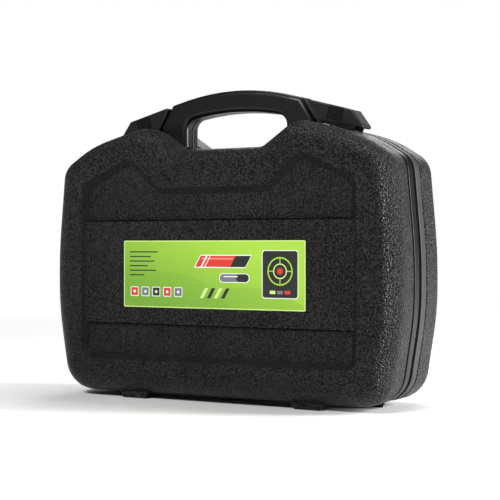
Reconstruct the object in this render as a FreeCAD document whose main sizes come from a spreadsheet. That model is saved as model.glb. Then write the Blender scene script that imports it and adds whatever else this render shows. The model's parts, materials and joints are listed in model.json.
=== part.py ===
import FreeCAD, Part
import math
import os
import re
import Sketcher
from FreeCAD import Placement, Rotation, Vector

# Blow-moulded carry case for an electric sheep clipper, with the clipper and its tools inside.
# X runs along the case, Y from the label side to the back, Z up. The seam is the plane Y = 0.
# The case stands on its feet at Z = 0. All sizes are in millimetres.

doc = FreeCAD.newDocument("ClipperCase")
sheet = doc.addObject("Spreadsheet::Sheet", "Sizes")

sizes = {
    # case outline, right half; the left half mirrors it
    "caseWidth": 389.5,
    "caseDepth": 120,
    "shellFloor": 5.5,
    "footLean": 14,
    "lowBendRise": 86.5,
    "highBendRise": 144.5,
    "cornerLean": 7.7,
    "cornerRise": 231,
    "shoulderInset": 42.75,
    "shoulderRise": 253.1,
    "peakReach": 86,
    "peakRise": 270.8,
    "dipReach": 48.6,
    "dipRise": 245.2,
    "footCorner": 32,
    "lowBend": 300,
    "highBend": 500,
    "upperCorner": 24,
    "shoulderBend": 120,
    "peakBend": 26,
    "dipBend": 14,
    # shells
    "shellWall": 3,
    "faceRound": 22,
    "seamGap": 0.4,
    "deepInset": 14,
    "faceWall": 3,
    "rimStep": 1.8,
    "rimInset": 0.5,
    "rimRound": 1,
    "lidRimNear": 3,
    "lidRimFar": 13.7,
    "lidWallStart": 17.5,
    "baseRimNear": 3,
    "baseRimFar": 14.8,
    "baseWallStart": 15,
    "wallEdge": 1.2,
    # recessed panel in each big face, with a raised band for the label
    "panelMargin": 39.25,
    "panelFloor": 40,
    "panelCornerRise": 217,
    "panelPeakOut": 11,
    "panelPeakRise": 244.5,
    "panelDipOut": 11.4,
    "panelDipRise": 212.5,
    "panelCorner": 12,
    "panelPeak": 14,
    "panelDip": 9,
    "panelDepth": 6,
    "panelSlope": 6.5,
    "panelEdge": 2.4,
    "bandLow": 76.8,
    "bandHigh": 179.4,
    "bandDepth": 2.2,
    "labelWidth": 206,
    "labelHeight": 66.5,
    "labelMiddle": 126.6,
    "labelThick": 0.4,
    "labelCorner": 1.5,
    # feet
    "footInner": 80,
    "footOuter": 117,
    "footNear": 28,
    "footFar": 47,
    "footSlant": 5,
    "footEmbed": 2.9,
    # hinge along the bottom of the seam
    "hingeRise": 3.75,
    "knuckleRadius": 3.2,
    "hingeClear": 0.4,
    "hingeInset": 86.75,
    "knuckleOuter": 14,
    "knuckleMiddle": 19.2,
    "knuckleGap": 0.4,
    "pinRadius": 1.25,
    "pinClear": 0.05,
    "pinSetback": 1,
    "webReach": 6,
    "webDrop": 1.2,
    "webRise": 2.75,
    # handle
    "gripHalfDepth": 13,
    "gripEndReach": 75,
    "gripEndRise": 299.7,
    "gripFootReach": 88,
    "gripFootRise": 278.5,
    "gripTop": 318.6,
    "gripTopBend": 250,
    "gripSeat": 246,
    "fingerReach": 57.5,
    "fingerRise": 283,
    "fingerTop": 292.6,
    "fingerTopBend": 260,
    "fingerCorner": 11,
    "gripRound": 5,
    "gripSeamEdge": 0.8,
    # latches
    "latchGap": 4.4,
    "latchLift": 1.4,
    "latchFront": 11,
    "latchBack": 10,
    "latchFootLength": 50.8,
    "latchFootLift": 3,
    "latchHeadOut": 32.5,
    "latchHeadIn": 19.35,
    "latchHeight": 18.1,
    "latchWall": 2.5,
    "latchRoof": 3.5,
    "latchHollowStart": 3,
    "latchHollowEnd": 33,
    "latchTravel": 12,
    "latchRound": 1.4,
    "slideClear": 0.3,
    "railEmbed": 2.2,
    "ribStart": 8.2,
    "ribPitch": 2.15,
    "ribWidth": 1,
    "ribDepth": 0.6,
    "ribCount": 8,
    # inner trays
    "trayClear": 0.3,
    "traySet": 0.9,
    "trayPlate": 2.5,
    "trayWall": 2,
    "trayBack": 0.7,
    "pocketClear": 0.3,
    "pocketInset": 23.25,
    "pocketSpare": 4.8,
    "lidPocketSpare": 2.9,
    "toolPocketDepth": 34,
    "cordPocketDepth": 35,
    "cordPocketStart": 8,
    "cordPocketInset": 8.5,
    "cordPocketLow": 26,
    "cordPocketHigh": 114,
    "legWall": 3,
    # clipper, lying along X
    "clipperY": 13,
    "clipperZ": 165,
    "housingWall": 3.5,
    "glandRoom": 0.5,
    "combRoom": 5.5,
    "capLength": 14,
    "capRound": 6,
    "ventWidth": 3,
    "ventLength": 8,
    "ventPlace": 20,
    "ventCount": 6,
    "grooveSetback": 36,
    "groovePitch": 12,
    "grooveWidth": 2,
    "grooveDepth": 1,
    "grooveCount": 4,
    "glandRadius": 6,
    "glandTip": 4,
    "glandLength": 17,
    "statorSetback": 35,
    "statorLength": 60,
    "rotorRadius": 19.3,
    "airGap": 0.7,
    "shaftRadius": 4,
    "bearingRadius": 11,
    "bearingLength": 7,
    "runClear": 0.05,
    "bossWall": 3,
    "rearBearingSetback": 2,
    "frontBearingSetback": 2,
    "crankSetback": 14,
    "crankRadius": 8,
    "crankThick": 4,
    "crankOffset": 4,
    "crankPin": 2,
    "crankPinLength": 8,
    "brushSetback": 18,
    "brushRadius": 5,
    "brushProud": 1.5,
    "switchSetback": 60,
    "switchStart": 4,
    "switchEnd": 5,
    "switchLength": 13,
    "switchWidth": 8,
    "switchProud": 2.6,
    "switchTravel": 12,
    "headLength": 78,
    "headNose": 25,
    "headWall": 4,
    "webThick": 10,
    "pivotSetback": 66,
    "towerRadius": 9,
    "towerTop": -16,
    "towerInside": -8,
    "tensionRadius": 4,
    "knobRadius": 12,
    "knobHeight": 8.7,
    "knobFlute": 1.6,
    "knobFlutes": 12,
    "pinDepthInKnob": 4,
    "forkY": 17,
    "forkThick": 7,
    "forkHalfWidth": 7,
    "forkSetback": 28,
    "yokeHalf": 12,
    "yokeLength": 13,
    "yokeSlot": 4.5,
    "forkBoss": 9,
    "pivotRadius": 3,
    "barSetback": 108,
    "barLength": 14,
    "barHalf": 26,
    "fingerLength": 22,
    "fingerWidth": 5,
    "fingerPitch": 14,
    "bedSetback": 60,
    "bedLength": 68,
    "bedHalf": 33,
    "bedY": 32,
    "bedThick": 5.5,
    "combSetback": 100,
    "combPlate": 34,
    "combHalf": 38,
    "combThick": 3.5,
    "combTooth": 32,
    "combToothRoot": 4.2,
    "combToothTip": 1.6,
    "combTeeth": 13,
    "cutterSetback": 124,
    "cutterPlate": 16,
    "cutterHalf": 28,
    "cutterThick": 2.8,
    "cutterTooth": 20,
    "cutterToothRoot": 11,
    "cutterToothTip": 3,
    "cutterTeeth": 4,
    "screwSetback": 106,
    "screwReach": 20,
    "screwRadius": 2.5,
    "screwHead": 4.5,
    "screwHeadThick": 2.6,
    "screwGrip": 4,
    # oil bottle
    "toolInset": 13.5,
    "bottleZ": 96,
    "bottleRadius": 15,
    "bottleLength": 84,
    "bottleShoulder": 8,
    "neckRadius": 7,
    "neckLength": 14,
    "bottleWall": 1.5,
    "capWall": 1.8,
    "capHeight": 16,
    # cleaning brush
    "brushZ": 62,
    "brushLength": 130,
    "brushHalfWidth": 9,
    "brushThick": 9,
    "brushCorner": 7,
    "tuftLength": 14,
    "tuftRadius": 2.4,
    "tuftPitch": 6.5,
    "tuftSpread": 4,
    "tuftCount": 6,
    # screwdriver
    "driverZ": 36,
    "gripLength": 62,
    "gripRadius": 10,
    "gripFlute": 3,
    "gripFlutes": 6,
    "bladeRadius": 2.5,
    "bladeLength": 70,
    "bladeTip": 1,
    "bladeTipLength": 10,
}

# places that follow from the sizes above
places = {
    "shoulderReach": "caseWidth / 2 - shoulderInset",
    "panelReach": "caseWidth / 2 - panelMargin",
    "panelPeakReach": "peakReach + panelPeakOut",
    "panelDipReach": "dipReach + panelDipOut",
    "deepStart": "caseDepth / 2 - faceRound",
    "hingeStart": "caseWidth / 2 - hingeInset",
    "latchSlope": "atan((peakRise - shoulderRise) / (shoulderReach - peakReach)) / 1deg",
    "latchX": "gripFootReach + latchGap",
    "latchZ": "shellFloor + peakRise - (latchX - peakReach) * tan(latchSlope * 1deg) + latchLift",
    "pocketReach": "caseWidth / 2 - pocketInset",
    "cordPocketEnd": "pocketReach - cordPocketInset",
    "toolStart": "toolInset - pocketReach",
    "housingRadius": "caseDepth / 2 - panelDepth - faceWall - trayBack - trayWall - pocketClear - clipperY",
    "pocketHalfHeight": "housingRadius + brushProud + pocketSpare",
    "lidPocketDepth": "housingRadius - clipperY + switchProud + lidPocketSpare",
    "housingRear": "glandRoom + glandLength + capLength - pocketReach",
    "clipperX": "pocketReach - combRoom - combTooth - combPlate - combSetback",
    "statorRear": "housingRear + statorSetback",
    "rearBearingX": "housingRear + rearBearingSetback",
    "brushX": "housingRear + brushSetback",
    "switchX": "clipperX - switchSetback",
    "frontBearingX": "clipperX + frontBearingSetback",
    "crankX": "clipperX + crankSetback",
    "pivotX": "clipperX + pivotSetback",
    "forkRear": "clipperX + forkSetback",
    "barStart": "clipperX + barSetback",
    "bedStart": "clipperX + bedSetback",
    "bedEnd": "bedStart + bedLength",
    "combStart": "clipperX + combSetback",
    "cutterStart": "clipperX + cutterSetback",
    "screwX": "clipperX + screwSetback",
}

cells = {**sizes, **{name: "=" + text for name, text in places.items()}}
for line, (name, value) in enumerate(cells.items(), start=1):
    sheet.set(f"A{line}", name)
    sheet.set(f"B{line}", str(value))
    sheet.setAlias(f"B{line}", name)
doc.recompute()

nodes = {}


# ---- helpers -------------------------------------------------------------------------------------

def bound(text):
    return re.sub(r"[A-Za-z]\w*", lambda m: "Sizes." + m[0] if m[0] in cells else m[0], str(text))


def number(text):
    return float(sheet.evalExpression(str(text)))


def bind(item, **places):
    for place, text in places.items():
        item.setExpression(place.replace("_", "."), bound(text))
    return item


def turned(text):
    return f"-({text})"


def mirrored(corners):
    return corners + [(turned(x), z, r) for x, z, r in reversed(corners)]


def sketchRounded(sketch, corners):
    # closed outline of straight runs; each corner is (across, up, radius), each value bound to the sheet
    points = [Vector(number(x), number(z), 0) for x, z, r in corners]
    count = len(points)
    starts = []
    ends = []
    arcs = []
    for i, (x, z, r) in enumerate(corners):
        here = points[i]
        back = (points[i - 1] - here).normalize()
        ahead = (points[(i + 1) % count] - here).normalize()
        radius = number(r)
        opening = back.getAngle(ahead)
        trim = radius / math.tan(opening / 2)
        starts.append(here + back * trim)
        ends.append(here + ahead * trim)
        middle = here + (back + ahead).normalize() * (radius / math.sin(opening / 2))
        left = back.cross(ahead).z < 0
        sweep = [math.atan2(p.y - middle.y, p.x - middle.x) for p in (starts[i], ends[i])]
        arcs.append((middle, radius, sweep if left else sweep[::-1], left))
    sketch.addGeometry([Part.LineSegment(ends[i], starts[(i + 1) % count]) for i in range(count)], False)
    rules = []
    links = []

    def rule(text, *what):
        rules.append(Sketcher.Constraint(*what))
        if text is not None:
            links.append((len(rules) - 1, text))

    for i, (x, z, r) in enumerate(corners):
        before = (i - 1) % count
        middle, radius, sweep, left = arcs[i]
        spot = i
        if radius > 0:
            circle = Part.Circle(middle, Vector(0, 0, 1), radius)
            arc = sketch.addGeometry(Part.ArcOfCircle(circle, *sweep), False)
            spot = sketch.addGeometry(Part.Point(points[i]), True)
            rule(None, "Tangent", before, 2, arc, 1 if left else 2)
            rule(None, "Tangent", i, 1, arc, 2 if left else 1)
            rule(None, "PointOnObject", spot, 1, before)
            rule(None, "PointOnObject", spot, 1, i)
            rule(r, "Radius", arc, radius)
        else:
            rule(None, "Coincident", before, 2, i, 1)
        rule(x, "DistanceX", -1, 1, spot, 1, points[i].x)
        rule(z, "DistanceY", -1, 1, spot, 1, points[i].y)
    sketch.addConstraint(rules)
    for place, text in links:
        sketch.setExpression(f"Constraints[{place}]", bound(text))


def outline(name, corners, y="0"):
    # an outline that stands in a plane parallel to XZ
    sketch = doc.addObject("Sketcher::SketchObject", name)
    sketch.Placement = Placement(Vector(0, number(y), 0), Rotation(Vector(1, 0, 0), 90))
    bind(sketch, Placement_Base_y=y)
    sketchRounded(sketch, corners)
    return sketch


def span(side, near, far):
    # a stretch between two distances from the seam, on the lid (-1) or the base (+1)
    return (turned(far), turned(near)) if side < 0 else (near, far)


def slab(name, source, low, high, inset=None):
    # an outline, or a parallel one set inside it, made solid from Y = low to Y = high
    if inset is not None:
        line = doc.addObject("Part::Offset2D", name + "Line")
        line.Source = source
        source = bind(line, Value=turned(inset))
    solid = doc.addObject("Part::Extrusion", name)
    solid.Base = source
    solid.DirMode = "Custom"
    solid.Dir = Vector(0, 1, 0)
    solid.Solid = True
    return bind(solid, LengthFwd=high, LengthRev=turned(low))


def box(name, x0, x1, y0, y1, z0, z1):
    solid = doc.addObject("Part::Box", name)
    bind(solid, Length=f"({x1}) - ({x0})", Width=f"({y1}) - ({y0})", Height=f"({z1}) - ({z0})")
    return bind(solid, Placement_Base_x=x0, Placement_Base_y=y0, Placement_Base_z=z0)


AIM = {"x": Rotation(Vector(0, 1, 0), 90), "y": Rotation(Vector(1, 0, 0), -90), "z": Rotation()}


def rod(name, aim, radius, length, x, y, z):
    solid = doc.addObject("Part::Cylinder", name)
    solid.Placement = Placement(Vector(), AIM[aim])
    bind(solid, Radius=radius, Height=length)
    return bind(solid, Placement_Base_x=x, Placement_Base_y=y, Placement_Base_z=z)


def taper(name, aim, start, end, length, x, y, z):
    solid = doc.addObject("Part::Cone", name)
    solid.Placement = Placement(Vector(), AIM[aim])
    bind(solid, Radius1=start, Radius2=end, Height=length)
    return bind(solid, Placement_Base_x=x, Placement_Base_y=y, Placement_Base_z=z)


def wedge(name, x0, x1, y0, y1, root, tip, z):
    # a flat tooth that points along X: root wide at x0, tip wide at x1, centred on z
    solid = doc.addObject("Part::Wedge", name)
    solid.Placement = Placement(Vector(), Rotation(Vector(1, 1, 0), 180))
    bind(solid, Ymin="0", Ymax=f"({x1}) - ({x0})")
    bind(solid, Xmin="0", Xmax=f"({y1}) - ({y0})", X2min="0", X2max=f"({y1}) - ({y0})")
    bind(solid, Zmin=turned(f"({root}) / 2"), Zmax=f"({root}) / 2")
    bind(solid, Z2min=turned(f"({tip}) / 2"), Z2max=f"({tip}) / 2")
    return bind(solid, Placement_Base_x=x0, Placement_Base_y=y0, Placement_Base_z=z)


def fuse(name, *parts):
    joined = doc.addObject("Part::MultiFuse", name)
    joined.Shapes = list(parts)
    joined.Refine = True
    return joined


def cut(name, base, *tools):
    left = doc.addObject("Part::Cut", name)
    left.Base = base
    left.Tool = tools[0] if len(tools) == 1 else fuse(name + "Tools", *tools)
    left.Refine = True
    return left


def group(name, *parts):
    together = doc.addObject("Part::Compound", name)
    together.Links = list(parts)
    return together


def mirror(name, source):
    other = doc.addObject("Part::Mirroring", name)
    other.Source = source
    other.Base = Vector()
    other.Normal = Vector(1, 0, 0)
    return other


def softened(name, base, radius, picked):
    # rounds the edges that the test picks
    doc.recompute()
    size = number(radius)
    edges = [i for i, edge in enumerate(base.Shape.Edges, start=1) if picked(edge)]
    soft = doc.addObject("Part::Fillet", name)
    soft.Base = base
    soft.Edges = [(i, size, size) for i in edges]
    return soft


def flatAt(y):
    # an edge that lies in the plane Y = y
    place = number(y)
    return lambda edge: abs(edge.BoundBox.YMin - place) < 1e-4 and abs(edge.BoundBox.YMax - place) < 1e-4


def flatAtEither(*places):
    tests = [flatAt(y) for y in places]
    return lambda edge: any(test(edge) for test in tests)


def body(name):
    return doc.addObject("PartDesign::Body", name)


def bodyPlane(owner, role):
    return next(item for item in owner.Origin.OriginFeatures if item.Role == role)


def bodySketch(owner, name, role, corners):
    sketch = owner.newObject("Sketcher::SketchObject", name)
    sketch.AttachmentSupport = [(bodyPlane(owner, role), "")]
    sketch.MapMode = "FlatFace"
    sketchRounded(sketch, corners)
    return sketch


def roundSketch(owner, name, role, x, y, radius):
    sketch = owner.newObject("Sketcher::SketchObject", name)
    sketch.AttachmentSupport = [(bodyPlane(owner, role), "")]
    sketch.MapMode = "FlatFace"
    circle = Part.Circle(Vector(number(x), number(y), 0), Vector(0, 0, 1), number(radius))
    sketch.addGeometry(circle, False)
    sketch.addConstraint([
        Sketcher.Constraint("Radius", 0, number(radius)),
        Sketcher.Constraint("DistanceX", -1, 1, 0, 3, number(x)),
        Sketcher.Constraint("DistanceY", -1, 1, 0, 3, number(y)),
    ])
    for place, text in enumerate((radius, x, y)):
        sketch.setExpression(f"Constraints[{place}]", bound(text))
    return sketch


def spun(name, corners, aim, x, y, z):
    # a turned piece: the outline is (along, out) and turns about its own length, then points along aim
    owner = body(name)
    sketch = bodySketch(owner, name + "Profile", "XY_Plane", corners)
    turn = owner.newObject("PartDesign::Revolution", name + "Turn")
    turn.Profile = sketch
    turn.ReferenceAxis = (sketch, ["H_Axis"])
    turn.Angle = 360
    owner.Placement = Placement(Vector(), aim)
    bind(owner, Placement_Base_x=x, Placement_Base_y=y, Placement_Base_z=z)
    return owner


def keep(name, item):
    item.Label = name
    nodes[name] = item
    return item


# ---- case outline --------------------------------------------------------------------------------

caseCorners = mirrored([
    ("caseWidth / 2 - footLean", "shellFloor", "footCorner"),
    ("caseWidth / 2", "shellFloor + lowBendRise", "lowBend"),
    ("caseWidth / 2", "shellFloor + highBendRise", "highBend"),
    ("caseWidth / 2 - cornerLean", "shellFloor + cornerRise", "upperCorner"),
    ("shoulderReach", "shellFloor + shoulderRise", "shoulderBend"),
    ("peakReach", "shellFloor + peakRise", "peakBend"),
    ("dipReach", "shellFloor + dipRise", "dipBend"),
])
caseOutline = outline("caseOutline", caseCorners)

panelCorners = mirrored([
    ("panelReach", "panelFloor", "panelCorner"),
    ("panelReach", "panelCornerRise", "panelPeak"),
    ("panelPeakReach", "panelPeakRise", "panelPeak"),
    ("panelDipReach", "panelDipRise", "panelDip"),
])

gripCorners = [
    ("fingerReach", "gripSeat", "0"),
    ("gripFootReach", "gripSeat", "0"),
    ("gripFootReach", "gripFootRise", "0"),
    ("gripEndReach", "gripEndRise", "0"),
    ("0", "gripTop", "gripTopBend"),
    (turned("gripEndReach"), "gripEndRise", "0"),
    (turned("gripFootReach"), "gripFootRise", "0"),
    (turned("gripFootReach"), "gripSeat", "0"),
    (turned("fingerReach"), "gripSeat", "0"),
    (turned("fingerReach"), "fingerRise", "fingerCorner"),
    ("0", "fingerTop", "fingerTopBend"),
    ("fingerReach", "fingerRise", "fingerCorner"),
]


def legSpaces(name, side, spare):
    # the room that the two handle legs take in a shell, with some to spare around it
    low, high = span(side, turned("1"), f"gripHalfDepth + ({spare})")
    inner = f"fingerReach - ({spare})"
    outer = f"gripFootReach + ({spare})"
    floor = f"gripSeat - ({spare})"
    top = "gripTop"
    return [
        box(name + "Right", inner, outer, low, high, floor, top),
        box(name + "Left", turned(outer), turned(inner), low, high, floor, top),
    ]


def latchBox(name, along0, along1, y0, y1, up0, up1):
    # a box in the right latch's own directions: along its slide, across the seam, and up
    solid = doc.addObject("Part::Box", name)
    solid.Placement = Placement(Vector(), Rotation(Vector(0, 1, 0), number("latchSlope")))
    bind(solid, Length=f"({along1}) - ({along0})", Width=f"({y1}) - ({y0})", Height=f"({up1}) - ({up0})")
    bind(solid, Placement_Rotation_Angle="latchSlope")
    x = f"latchX + ({along0}) * cos(latchSlope * 1deg) + ({up0}) * sin(latchSlope * 1deg)"
    z = f"latchZ - ({along0}) * sin(latchSlope * 1deg) + ({up0}) * cos(latchSlope * 1deg)"
    return bind(solid, Placement_Base_x=x, Placement_Base_y=y0, Placement_Base_z=z)


def knuckles(name, side):
    # the lid has the middle knuckle of each hinge, the base the two outer ones
    middle0 = "hingeStart + knuckleOuter + knuckleGap"
    middle1 = "hingeStart + knuckleOuter + knuckleMiddle - knuckleGap"
    last0 = "hingeStart + knuckleOuter + knuckleMiddle"
    last1 = "hingeStart + 2 * knuckleOuter + knuckleMiddle"
    if side < 0:
        runs = [(middle0, middle1)]
    else:
        runs = [("hingeStart", "hingeStart + knuckleOuter"), (last0, last1)]
    low, high = span(side, "seamGap + 0.2", "webReach")
    parts = []
    for i, (start, end) in enumerate(runs):
        for hand, (x0, x1) in (("Right", (start, end)), ("Left", (turned(end), turned(start)))):
            tag = f"{name}{hand}{i}"
            parts.append(rod(tag + "Roll", "x", "knuckleRadius", f"({x1}) - ({x0})", x0, "0", "hingeRise"))
            web = box(tag + "Web", x0, x1, low, high, "hingeRise - webDrop", "hingeRise + webRise")
            parts.append(web)
    return parts


def hingeRods(name, radius, start, length):
    right = rod(name + "Right", "x", radius, length, start, "0", "hingeRise")
    left = rod(name + "Left", "x", radius, length, f"-({start}) - ({length})", "0", "hingeRise")
    return [right, left]


HINGE_LENGTH = "2 * knuckleOuter + knuckleMiddle"


def shellSide(name, side, rimNear, rimFar, wallStart):
    face = turned("caseDepth / 2") if side < 0 else "caseDepth / 2"
    core = slab(name + "Core", caseOutline, *span(side, "seamGap", f"{wallStart} + 1"), inset="rimStep")
    rimBand = slab(name + "Rim", caseOutline, *span(side, rimNear, rimFar), inset="rimInset")
    rim = softened(name + "RimSoft", rimBand, "rimRound",
                   flatAtEither(*span(side, rimNear, rimFar)))
    wall = slab(name + "Wall", caseOutline, *span(side, wallStart, "caseDepth / 2"))
    eased = softened(name + "Eased", wall, "wallEdge", flatAt(span(side, wallStart, wallStart)[0]))
    rounded = softened(name + "Rounded", eased, "faceRound", flatAt(face))
    # the recessed panel slopes down to its floor; the label band stays nearly flush
    panel = outline(name + "Panel", panelCorners, face)
    hollow = doc.addObject("Part::Extrusion", name + "Hollow")
    hollow.Base = panel
    hollow.DirMode = "Custom"
    hollow.Dir = Vector(0, -side, 0)
    hollow.Solid = True
    bind(hollow, LengthFwd="panelDepth", TaperAngle="-atan(panelSlope / panelDepth)")
    bandY = span(side, "caseDepth / 2 - panelDepth - 1", "caseDepth / 2 - bandDepth")
    band = box(name + "Band", "-panelReach", "panelReach", *bandY, "bandLow", "bandHigh")
    recess = cut(name + "Recess", hollow, band)
    faced = cut(name + "Faced", rounded, recess)
    reach = number("panelReach") + 0.01

    def panelEdge(edge):
        return flatAt(face)(edge) and max(abs(edge.BoundBox.XMin), abs(edge.BoundBox.XMax)) < reach

    edged = softened(name + "Edged", faced, "panelEdge", panelEdge)
    # inside: a wide hollow behind the seam and a narrower one behind the rounded face
    wide = slab(name + "Wide", caseOutline, *span(side, "0", "deepStart"), inset="shellWall")
    deepY = span(side, "deepStart - 1", "caseDepth / 2 - panelDepth - faceWall")
    deep = slab(name + "Deep", caseOutline, *deepY, inset="deepInset")
    hollows = fuse(name + "Hollows", wide, deep)
    room = cut(name + "Room", hollows, *legSpaces(name + "LegWall", side, "legWall"))
    solid = fuse(name + "Solid", core, rim, edged)
    swing = hingeRods(name + "Swing", "knuckleRadius + hingeClear", "hingeStart - knuckleGap",
                      f"{HINGE_LENGTH} + 2 * knuckleGap")
    opened = cut(name + "Opened", solid, room, *legSpaces(name + "Leg", side, "0"), *swing)
    feet = []
    footCorners = [
        ("footInner + footSlant", "0", "0"),
        ("footOuter - footSlant", "0", "0"),
        ("footOuter", "shellFloor + footEmbed", "0"),
        ("footInner", "shellFloor + footEmbed", "0"),
    ]
    for hand, corners in (("Right", footCorners), ("Left", [(turned(x), z, r) for x, z, r in footCorners])):
        foot = outline(name + "Foot" + hand, corners)
        feet.append(slab(name + "Pad" + hand, foot, *span(side, "footNear", "footFar")))
    rails = []
    if side > 0:
        # each latch slides on a rail that stands on the base and reaches up into its hollow
        rail = latchBox(name + "Rail", "latchHollowStart + latchTravel + slideClear",
                        "latchHollowEnd - slideClear", "2 * seamGap",
                        "latchBack - latchWall - slideClear", "-latchLift - railEmbed",
                        "latchHeight - latchRoof - slideClear")
        rails = [rail, mirror(name + "RailLeft", rail)]
    added = fuse(name + "Added", opened, *feet, *rails, *knuckles(name + "Knuckle", side))
    bores = hingeRods(name + "Bore", "pinRadius + pinClear", "hingeStart - 1", f"{HINGE_LENGTH} + 2")
    return cut(name, added, *bores)


keep("front_shell", shellSide("FrontShell", -1, "lidRimNear", "lidRimFar", "lidWallStart"))
keep("back_shell", shellSide("BackShell", 1, "baseRimNear", "baseRimFar", "baseWallStart"))

pins = hingeRods("HingePin", "pinRadius", "hingeStart + pinSetback", f"{HINGE_LENGTH} - 2 * pinSetback")
keep("hinge_pins", group("HingePins", *pins))

# ---- label ---------------------------------------------------------------------------------------

labelCorners = [
    ("labelWidth / 2", "labelMiddle - labelHeight / 2", "labelCorner"),
    ("labelWidth / 2", "labelMiddle + labelHeight / 2", "labelCorner"),
    ("-labelWidth / 2", "labelMiddle + labelHeight / 2", "labelCorner"),
    ("-labelWidth / 2", "labelMiddle - labelHeight / 2", "labelCorner"),
]
label = body("Label")
labelPad = label.newObject("PartDesign::Pad", "LabelPad")
labelPad.Profile = bodySketch(label, "LabelOutline", "XZ_Plane", labelCorners)
bind(labelPad, Length="labelThick")
bind(label, Placement_Base_y="-caseDepth / 2 + bandDepth")
keep("label", label)


# ---- handle halves -------------------------------------------------------------------------------

def gripHalf(name, side):
    face = turned("gripHalfDepth") if side < 0 else "gripHalfDepth"
    seam = turned("seamGap") if side < 0 else "seamGap"
    line = outline(name + "Line", gripCorners)
    blank = slab(name + "Blank", line, *span(side, "seamGap", "gripHalfDepth"))
    rounded = softened(name + "Rounded", blank, "gripRound", flatAt(face))
    return softened(name, rounded, "gripSeamEdge", flatAt(seam))


keep("front_handle_half", gripHalf("FrontGrip", -1))
keep("back_handle_half", gripHalf("BackGrip", 1))

# ---- latches -------------------------------------------------------------------------------------

rightLatch = body("RightLatchForm")
latchCorners = [
    ("0", "0", "0"),
    ("latchFootLength", "latchFootLift", "2"),
    ("latchHeadOut", "latchHeight", "3"),
    ("-latchHeadIn", "latchHeight", "2"),
]
latchPad = rightLatch.newObject("PartDesign::Pad", "LatchPad")
latchPad.Profile = bodySketch(rightLatch, "LatchOutline", "XZ_Plane", latchCorners)
bind(latchPad, Length="latchFront + latchBack")
rightLatch.Placement = Placement(Vector(), Rotation(Vector(0, 1, 0), number("latchSlope")))
bind(rightLatch, Placement_Rotation_Angle="latchSlope", Placement_Base_x="latchX")
bind(rightLatch, Placement_Base_y="latchBack", Placement_Base_z="latchZ")
latchSoft = softened("LatchSoft", rightLatch, "latchRound", flatAtEither("-latchFront", "latchBack"))
latchCuts = [latchBox("LatchHollow", "latchHollowStart", "latchHollowEnd", "-latchFront + latchWall",
                      "latchBack - latchWall", "-3", "latchHeight - latchRoof")]
for rib in range(int(sizes["ribCount"])):
    start = f"ribStart + {rib} * ribPitch"
    end = f"{start} + ribWidth"
    tag = f"LatchRib{rib}"
    latchCuts.append(latchBox(tag + "Front", start, end, "-latchFront - 1", "-latchFront + ribDepth",
                              "latchFootLift + 1", "latchHeight + 3"))
    latchCuts.append(latchBox(tag + "Back", start, end, "latchBack - ribDepth", "latchBack + 1",
                              "latchFootLift + 1", "latchHeight + 3"))
    latchCuts.append(latchBox(tag + "Top", start, end, "-latchFront - 1", "latchBack + 1",
                              "latchHeight - ribDepth", "latchHeight + 3"))
keep("right_latch", cut("RightLatch", latchSoft, *latchCuts))
keep("left_latch", mirror("LeftLatch", nodes["right_latch"]))


# ---- inner trays ---------------------------------------------------------------------------------

clipperLow = "clipperZ - pocketHalfHeight"
clipperHigh = "clipperZ + pocketHalfHeight"
TOOL_POCKETS = [
    ("Bottle", "bottleZ", "bottleRadius", "bottleLength + neckLength + 5"),
    ("Brush", "brushZ", "brushHalfWidth", "brushLength"),
    ("Driver", "driverZ", "gripRadius", "gripLength + bladeLength"),
]


def tray(name, side, pockets):
    plate = slab(name + "Plate", caseOutline, *span(side, "traySet", "traySet + trayPlate"),
                 inset="shellWall + trayClear")
    walls = []
    rooms = []
    for tag, x0, x1, depth, z0, z1 in pockets:
        low, high = span(side, "traySet", f"{depth} + trayWall")
        walls.append(box(f"{name}{tag}Wall", f"{x0} - trayWall", f"{x1} + trayWall", low, high,
                         f"{z0} - trayWall", f"{z1} + trayWall"))
        low, high = span(side, "0", depth)
        rooms.append(box(f"{name}{tag}Room", x0, x1, low, high, z0, z1))
    form = fuse(name + "Form", plate, *walls)
    return cut(name, form, *rooms, *legSpaces(name + "Leg", side, "legWall + trayClear"))


clipperDepth = "clipperY + housingRadius + pocketClear"
basePockets = [("Clipper", "-pocketReach", "pocketReach", clipperDepth, clipperLow, clipperHigh)]
for tag, middle, half, length in TOOL_POCKETS:
    basePockets.append((tag, "toolStart - pocketClear", f"toolStart + {length} + pocketClear",
                        "toolPocketDepth", f"{middle} - {half} - pocketClear",
                        f"{middle} + {half} + pocketClear"))
cordPocket = ("cordPocketStart", "cordPocketEnd", "cordPocketDepth", "cordPocketLow", "cordPocketHigh")
basePockets.append(("Cord", *cordPocket))
keep("back_inner_tray", tray("BackTray", 1, basePockets))
lidPockets = [
    ("Clipper", "-pocketReach", "pocketReach", "lidPocketDepth", clipperLow, clipperHigh),
    ("Cord", *cordPocket),
]
keep("front_inner_tray", tray("FrontTray", -1, lidPockets))

# ---- clipper: motor end --------------------------------------------------------------------------

CY = "clipperY"
CZ = "clipperZ"
housingInner = "housingRadius - housingWall"


def ring(name, outer, inner, length, x):
    return cut(name, rod(name + "Out", "x", outer, length, x, CY, CZ),
               rod(name + "In", "x", inner, f"{length} + 2", f"{x} - 1", CY, CZ))


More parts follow.
